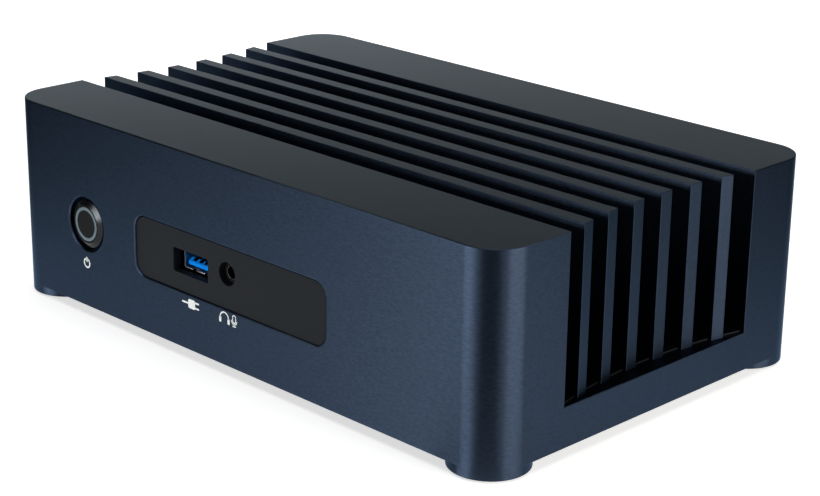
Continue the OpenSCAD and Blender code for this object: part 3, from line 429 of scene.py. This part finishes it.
def lead_in(bm):
    """Slices the upper front edge of a tongue off, at a slant that guides a plug in."""
    front, tip = front_end(bm)
    top = max(v.co.z for v in tip)
    made = bmesh.ops.bisect_plane(
        bm, geom=[*bm.verts, *bm.edges, *bm.faces], plane_co=(0, front, top - LEAD_DROP),
        plane_no=Vector((0, -LEAD_DROP, LEAD_IN)).normalized(), clear_outer=True)["geom_cut"]
    bmesh.ops.edgenet_fill(bm, edges=[e for e in made if isinstance(e, bmesh.types.BMEdge)])
    bmesh.ops.recalc_face_normals(bm, faces=bm.faces)


def nose_out(bm):
    """Draws the round nose of the audio jack out into its hole in the plate."""
    nose = front_end(bm)[1]
    bmesh.ops.translate(bm, verts=nose, vec=(0, -NOSE_REACH, 0))


CUTS = {"front_usb_tongue": lead_in, "audio_jack": nose_out}
print("changed before their edges are rounded:", list(CUTS))

# %% The plates, the switch, the ports and the feet
EDGES = {
    "front_port_plate": 0.04, "rear_port_plate": 0.04, "bottom_cover": 0.25, "foot_pads": 0.3,
    "switch_body": 0.08, "button_cap": 0.06, "light_ring": 0.05,
    "front_usb_shell": 0.05, "front_usb_tongue": 0.1, "rear_usb_shells": 0.05, "rear_usb_tongues": 0.1,
    "audio_jack": 0.35, "inlet_body": 0.12, "inlet_pin": 0.3, "video_port_shell": 0.05,
    "video_port_tongue": 0.1, "network_jack_shell": 0.05, "network_jack_insert": 0.12,
    "oval_port_shell": 0.05, "oval_port_tongue": 0.1,
}
finished = {name: rounded_copy(name, edge, cut=CUTS.get(name)) for name, edge in EDGES.items()}
print("finished:", {name: len(piece.data.polygons) for name, piece in finished.items()})

# %% [markdown]
# Some of these pieces need a second finish. The mouth of the audio jack is bare metal, so the rounded
# strip round its bore gets the finish of the port shells. The grooves in the blue tongue get the black
# plastic as painted shade: it stands in for the shade that falls in them, so that they show as dark
# marks. Where a face lies and which way it looks is enough to pick the right ones. And a plate never
# sits in the very middle of its pocket: the front one rests low and to the left, which leaves a fine
# shadow line over it and at its right end.

# %% The jack's mouth, the painted shade in the tongue's grooves and the place of the front plate
MOUTH_R, STRIP_TILT = 2.3 * MM, (0.2, 0.98)
GROOVE_DEPTH, TONGUE_END, LOOKS_UP, LOOKS_ASIDE = 0.05 * MM, 1 * MM, 0.95, 0.7
PLATE_REST = (-0.15 * MM, 0, -0.12 * MM)
# The cap's own matt black coat; on the audio jack it is also painted shade for the jack's hole.
for name in ("button_cap", "audio_jack"):
    finished[name].data.materials[0] = black_coat_and_hole_shade

jack, (low, high) = finished["audio_jack"].data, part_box("audio_jack")
jack.materials.append(finishes["port_shell"])
for face in jack.polygons:
    off_axis = math.hypot(face.center.x - (low.x + high.x) / 2, face.center.z - (low.z + high.z) / 2)
    face.material_index = int(STRIP_TILT[0] < -face.normal.y < STRIP_TILT[1] and off_axis < MOUTH_R)

tongue, (low, high) = finished["front_usb_tongue"].data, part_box("front_usb_tongue")
# The floors and sides of the grooves get black plastic as painted shade, for the shade that falls in
# them.
tongue.materials.append(finishes["black_plastic"])
for face in tongue.polygons:
    groove_floor_shade = face.normal.z > LOOKS_UP and face.center.z < high.z - GROOVE_DEPTH
    groove_side_shade = abs(face.normal.x) > LOOKS_ASIDE
    if low.x + TONGUE_END < face.center.x < high.x - TONGUE_END and (groove_floor_shade or groove_side_shade):
        face.material_index = 1

finished["front_port_plate"].data.transform(Matrix.Translation(PLATE_REST))
for mesh in (jack, tongue):
    second = sum(face.material_index for face in mesh.polygons)
    print(mesh.name, "has", second, "faces in a second finish")

# %% [markdown]
# The head of the switch is turned on a lathe, and its sloping bezel shows one clean, soft highlight.
# The CAD mesh has uneven triangles there, which would break that highlight up. So a thin skin is laid
# over the slope: four points make its section, and one full spin round the axis makes the ring.

# %% The bezel of the switch
RIM_R, BEZEL_DEPTH, SKIN, BEZEL_STEPS = 5.4 * MM, 0.7 * MM, 0.02 * MM, 120
low, high = SWITCH
axis_point = Vector(((low.x + high.x) / 2, low.y, (low.z + high.z) / 2))
head_r = (high.x - low.x) / 2
ring = bmesh.new()
section = [ring.verts.new(axis_point + Vector((r, depth, 0))) for r, depth in (
    (RIM_R, -SKIN), (head_r, BEZEL_DEPTH - SKIN), (head_r, BEZEL_DEPTH + SKIN), (RIM_R, SKIN))]
outline = [ring.edges.new(pair) for pair in zip(section, section[1:] + section[:1])]
bmesh.ops.spin(ring, geom=section + outline, cent=axis_point, axis=(0, 1, 0), angle=math.tau,
               steps=BEZEL_STEPS, use_merge=True)
bmesh.ops.recalc_face_normals(ring, faces=ring.faces)
bezel = as_piece("switch_bezel", ring, finishes["switch_metal"], "case")
print("bezel:", len(bezel.data.polygons), "faces, radius", round(head_r / MM, 2), "mm")

# %% [markdown]
# Behind the cap sits the return spring, whose coils close up when the button is pressed. Its copy here
# keeps sharp edges and rides on no body.

# %% The return spring
spring = rounded_copy("return_spring", 0, rides=False)
low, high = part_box("return_spring")
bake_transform(spring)
print("spring:", round((high.y - low.y) / MM, 2), "mm long at rest")

# %% [markdown]
# Small white pictograms are printed under the button and the ports: a power symbol, a plug, headphones
# and a microphone. Print is only a few hundredths of a millimetre thick, but real: each sign is a
# few thin bars and bent strips that lie on the face of the case. A bent strip is a small flat section,
# spun round the middle of its bend.

# %% Helpers for the printed signs
FACE_Y = CASE_LOW.y
INK, BOW_STEP = 0.03 * MM, 9
white_print = grained("white_print", 0.15, (0.78, 0.82, 0.81), (0.86, 0.9, 0.89), (0.5, 0.6), 0.004)


def bar(bm, x, z, w, h, corner=0.0):
    """A flat bar of ink, by its middle and its size in millimetres."""
    made = bmesh.ops.create_cube(bm, size=1)["verts"]
    bmesh.ops.scale(bm, verts=made, vec=(w * MM, INK, h * MM))
    if corner:
        upright = [e for e in {e for v in made for e in v.link_edges}
                   if abs(e.verts[0].co.y - e.verts[1].co.y) > INK / 2]
        made = bmesh.ops.bevel(bm, geom=upright, offset=corner * MM, segments=5, profile=0.5,
                               affect="EDGES", material=-1)["verts"]
        made = list({v for f in {f for v in made for f in v.link_faces} for v in f.verts})
    bmesh.ops.translate(bm, verts=made, vec=(x * MM, FACE_Y - INK / 2, z * MM))


def bow(bm, x, z, r, w, start, sweep):
    """A bent strip of ink round a middle, from a start angle, anticlockwise as seen from the front."""
    made = bmesh.ops.create_grid(bm, x_segments=1, y_segments=1, size=0.5)["verts"]
    for axis in "XZ":
        stand = Matrix.Rotation(math.pi / 2, 3, axis)
        bmesh.ops.rotate(bm, verts=made, cent=(0, 0, 0), matrix=stand)
    bmesh.ops.scale(bm, verts=made, vec=(1, INK, w * MM))
    bmesh.ops.translate(bm, verts=made, vec=(x * MM, FACE_Y - INK / 2, (z + r) * MM))
    middle = (x * MM, FACE_Y, z * MM)
    to_start = Matrix.Rotation(math.radians(90 - start), 3, "Y")
    bmesh.ops.rotate(bm, verts=made, cent=middle, matrix=to_start)
    faces = list({f for v in made for f in v.link_faces})
    bmesh.ops.spin(bm, geom=[*made, *faces, *{e for f in faces for e in f.edges}], cent=middle,
                   axis=(0, -1, 0), angle=math.radians(sweep), steps=int(sweep / BOW_STEP))


def sign(name, draw):
    """A printed sign, drawn by a function and set on the front of the case."""
    bm = bmesh.new()
    draw(bm)
    bmesh.ops.remove_doubles(bm, verts=bm.verts, dist=MERGE)
    bmesh.ops.recalc_face_normals(bm, faces=bm.faces)
    return as_piece(name, bm, white_print, "case")


print("front face at", round(FACE_Y / MM, 2), "mm")

# %% [markdown]
# The signs are drawn from their middles, in millimetres on the front face. The plug beside the data
# port is a plain plug with its two pins and its lead, and the others are the signs that most such
# sockets carry.

# %% Draw the signs
LINE, THIN = 0.5, 0.3
HALF_TURN = 180


def power_sign(bm):
    """A ring that is open at the top, with a bar in the gap."""
    x, z, line = -60.8, 16.0, 0.45
    bow(bm, x, z, r=1.27, w=line, start=112, sweep=316)
    bar(bm, x, z + 1.05, w=line, h=1.5, corner=0.1)


def plug_sign(bm):
    """The lead, the body of a plug and its two pins, from left to right."""
    x, z = -14.6, 16.4
    bar(bm, x - 2.4, z, w=2.6, h=LINE)
    bar(bm, x + 0.3, z, w=2.9, h=2.6, corner=0.6)
    for side in (-1, 1):
        bar(bm, x + 2.5, z + side * 0.75, w=1.7, h=LINE)


def headphone_sign(bm):
    """A band over the head, with a cup at each end."""
    x, z, r = -0.8, 16.25, 1.7
    bow(bm, x, z, r, w=0.38, start=0, sweep=HALF_TURN)
    for side in (-1, 1):
        bar(bm, x + side * r, z - 0.55, w=0.85, h=1.6, corner=0.2)


def microphone_sign(bm):
    """A hollow capsule in a cup, on a stem with a foot."""
    x, z, head_r, cup_r = 3.15, 16.9, 0.62, 1.06
    for start, rise in ((0, 0.54), (180, -0.3)):
        bow(bm, x, z + rise, head_r, THIN, start, HALF_TURN)
    for side in (-1, 1):
        bar(bm, x + side * head_r, z + 0.12, w=THIN, h=0.94)
    bow(bm, x, z - 0.3, cup_r, THIN, start=180, sweep=HALF_TURN)
    bar(bm, x, z - 1.6, w=THIN, h=0.6)
    bar(bm, x, z - 1.9, w=1.3, h=THIN)


signs = [sign("sign_power", power_sign), sign("sign_plug", plug_sign),
         sign("sign_headphones", headphone_sign), sign("sign_microphone", microphone_sign)]
print("signs:", [(s.name, len(s.data.polygons)) for s in signs])

# %% [markdown]
# The studio is a white table in a dim room. Brushed metal shows what stands round it, so most of the
# picture is made by reflections: the table gives the walls their even tone, and two low softboxes, one
# at the front and one on the right, become the two light bands at the upright corner. The paper stays
# white where it is seen directly or in a mirror, and still takes the shadow of the case. It lies a hair
# below the feet, so that no two faces share one place.

# %% The floor
def stage_piece(name, bm, material):
    """A mesh that belongs to the studio."""
    mesh = bpy.data.meshes.new(name)
    bm.to_mesh(mesh)
    bm.free()
    mesh.materials.append(material)
    piece = bpy.data.objects.new(name, mesh)
    bpy.context.collection.objects.link(piece)
    piece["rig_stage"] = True
    return piece


PAPER_GLOW, FLOOR_HALF, FLOOR_DROP = 0.6, 30, 0.02 * MM
paper, paper_tree, paper_shader = new_finish("floor_paper", gloss=0.0)
paper_fac = grain(paper_tree, size_mm=6)
colour_between(paper_tree, paper_shader, paper_fac, (0.84, 0.84, 0.84), (0.86, 0.86, 0.86))
rough_between(paper_tree, paper_shader, paper_fac, 0.8, 0.9)
ray = put(paper_tree, "LightPath").outputs
seen = ray["Is Camera Ray"]
for other in ("Is Glossy Ray", "Is Transmission Ray"):
    seen = put(paper_tree, "Math", seen, ray[other], operation="ADD").outputs["Value"]
glow = put(paper_tree, "Math", seen, PAPER_GLOW, operation="MULTIPLY").outputs["Value"]
paper_tree.links.new(glow, paper_shader.inputs["Emission Strength"])
paper_shader.inputs["Emission Color"].default_value = (1, 1, 1, 1)
floor_mesh = bmesh.new()
bmesh.ops.create_grid(floor_mesh, x_segments=1, y_segments=1, size=FLOOR_HALF)
bmesh.ops.translate(floor_mesh, verts=floor_mesh.verts, vec=(0, 0, -FLOOR_DROP))
floor = stage_piece("floor", floor_mesh, paper)
print("floor:", [round(v, 2) for v in floor.dimensions])

# %% [markdown]
# Where the metal looks towards the camera, a photographer lays a black card out of the picture to get a
# deep band between two light ones, and others where a wall should darken. Here such a card is a flat
# wedge on the table, spun from one straight edge. It is seen in reflections only. Its middle is solid
# and its sides are clear, so no band has a hard border, and it also fades along its length. Three cards
# get darker away from the case, and the low one is darkest close to the corner.

# %% The black cards
CARD_LIFT, CARD_START, CARD_END = 0.2 * MM, 13 * MM, 1.4
CARD_STEPS, CARD_SOLID = 14, 0.45


def black_card(name, tip, azimuth, sweep, clear, solid, depth):
    """A wedge on the table: its tip, the direction of its middle, its angle, the distances in
    millimetres from its tip at which it is clear and at which it is darkest, and how dark that is."""
    tip = Vector((tip[0] * MM, tip[1] * MM, CARD_LIFT))
    first, whole = math.radians(azimuth - sweep / 2), math.radians(sweep)
    towards = Vector((math.sin(first), -math.cos(first), 0))
    bm = bmesh.new()
    start = max(min(clear, solid) * MM, CARD_START)
    ends = [bm.verts.new(tip + towards * r) for r in (start, CARD_END)]
    bmesh.ops.spin(bm, geom=[*ends, bm.edges.new(ends)], cent=tip, axis=(0, 0, 1), angle=whole,
                   steps=CARD_STEPS)
    material, tree, shader = new_finish(name, gloss=0.0)
    fac = grain(tree, size_mm=8)
    colour_between(tree, shader, fac, (0.008, 0.008, 0.008), (0.012, 0.012, 0.012))
    turn = (0, 0, math.radians(azimuth - 90))
    place = put(tree, "TexCoord").outputs["Object"]
    place = put(tree, "Mapping", place, tip, turn, vector_type="TEXTURE").outputs["Vector"]
    angle = put(tree, "TexGradient", place, gradient_type="RADIAL").outputs["Fac"]
    aside = put(tree, "Math", angle, 0.5, operation="SUBTRACT").outputs["Value"]
    aside = put(tree, "Math", aside, operation="ABSOLUTE").outputs["Value"]
    side = whole / math.tau / 2
    across = put(
        tree, "MapRange", aside, CARD_SOLID * side, side, 1, 0, interpolation_type="SMOOTHSTEP")
    away = put(tree, "VectorMath", place, operation="LENGTH").outputs["Value"]
    along = put(tree, "MapRange", away, clear * MM, solid * MM, 0, depth)
    fade = put(tree, "Math", across.outputs["Result"], along.outputs["Result"], operation="MULTIPLY")
    tree.links.new(fade.outputs["Value"], shader.inputs["Alpha"])
    card = stage_piece(name, bm, material)
    card.visible_camera = card.visible_diffuse = card.visible_shadow = card.visible_transmission = False


black_card("card_corner", (84.5, -50.5), azimuth=35, sweep=70, clear=-20, solid=60, depth=0.85)
black_card("card_low", (84.5, -50.5), azimuth=-25, sweep=44, clear=140, solid=10, depth=0.75)
black_card("card_left", (90, -60), azimuth=-72, sweep=76, clear=185, solid=340, depth=1)
black_card("card_rear", (100, -60), azimuth=165, sweep=60, clear=90, solid=310, depth=1)

# %% [markdown]
# A softbox is an area light. Its power is worked out from the brightness that its face should have, so
# that a box can be moved or resized without changing how bright it looks in the metal. The box at the
# front is a low strip, because light from higher up would reach down between the fins, which are dark
# in the photograph. A smaller one over it is there for the sloping bezel of the button. The box on the
# right is a little warmer, as that side of the case is in the photograph. Another hangs over the table
# and lights the paper, and a low strip stands close behind the case at the left: the top of the case,
# seen at a low angle, shows that one. The room itself is dim.

# %% The lights
AIM = Vector((0, 0, 0.03))
WHITE, WARM = (1, 1, 1), (1, 0.95, 0.88)


def softbox(name, azimuth, elevation, distance, width, height, brightness, colour=WHITE):
    """An area light that looks at the object. Azimuth 0 is in front of it and 90 on its right."""
    a, e = math.radians(azimuth), math.radians(elevation)
    away = Vector((math.sin(a) * math.cos(e), -math.cos(a) * math.cos(e), math.sin(e)))
    light = bpy.data.lights.new(name, "AREA")
    light.shape, light.size, light.size_y = "RECTANGLE", width, height
    light.energy, light.color = brightness * math.pi * width * height, colour
    lamp = bpy.data.objects.new(name, light)
    lamp.location = AIM + away * distance
    lamp.rotation_euler = away.to_track_quat("Z", "Y").to_euler()
    lamp.visible_camera = False
    bpy.context.collection.objects.link(lamp)


softbox("softbox_front", -16, 3, 1.0, width=0.68, height=0.12, brightness=13.5)
softbox("softbox_high", -19, 10, 1.0, width=0.46, height=0.15, brightness=11.0)
softbox("softbox_right", 99, 16, 1.0, width=0.75, height=0.4, brightness=7.3, colour=WARM)
softbox("softbox_rear", 225, 6, 0.42, width=0.7, height=0.15, brightness=1.95)
softbox("softbox_top", 0, 89, 1.2, width=1.2, height=1.2, brightness=1.75)

# %% The room
ROOM, ROOM_COLOUR = 0.08, (0.95, 0.98, 1, 1)
world = bpy.data.worlds.new("studio")
bpy.context.scene.world = world
world.use_nodes = True
air = world.node_tree.nodes["Background"].inputs
air["Color"].default_value = ROOM_COLOUR
air["Strength"].default_value = ROOM
bpy.context.scene.view_settings.view_transform = "Standard"
print("room brightness:", ROOM)

# %% The size of the finished model
low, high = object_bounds()
print("visual box", [round(v, 4) for v in (*low, *high)])
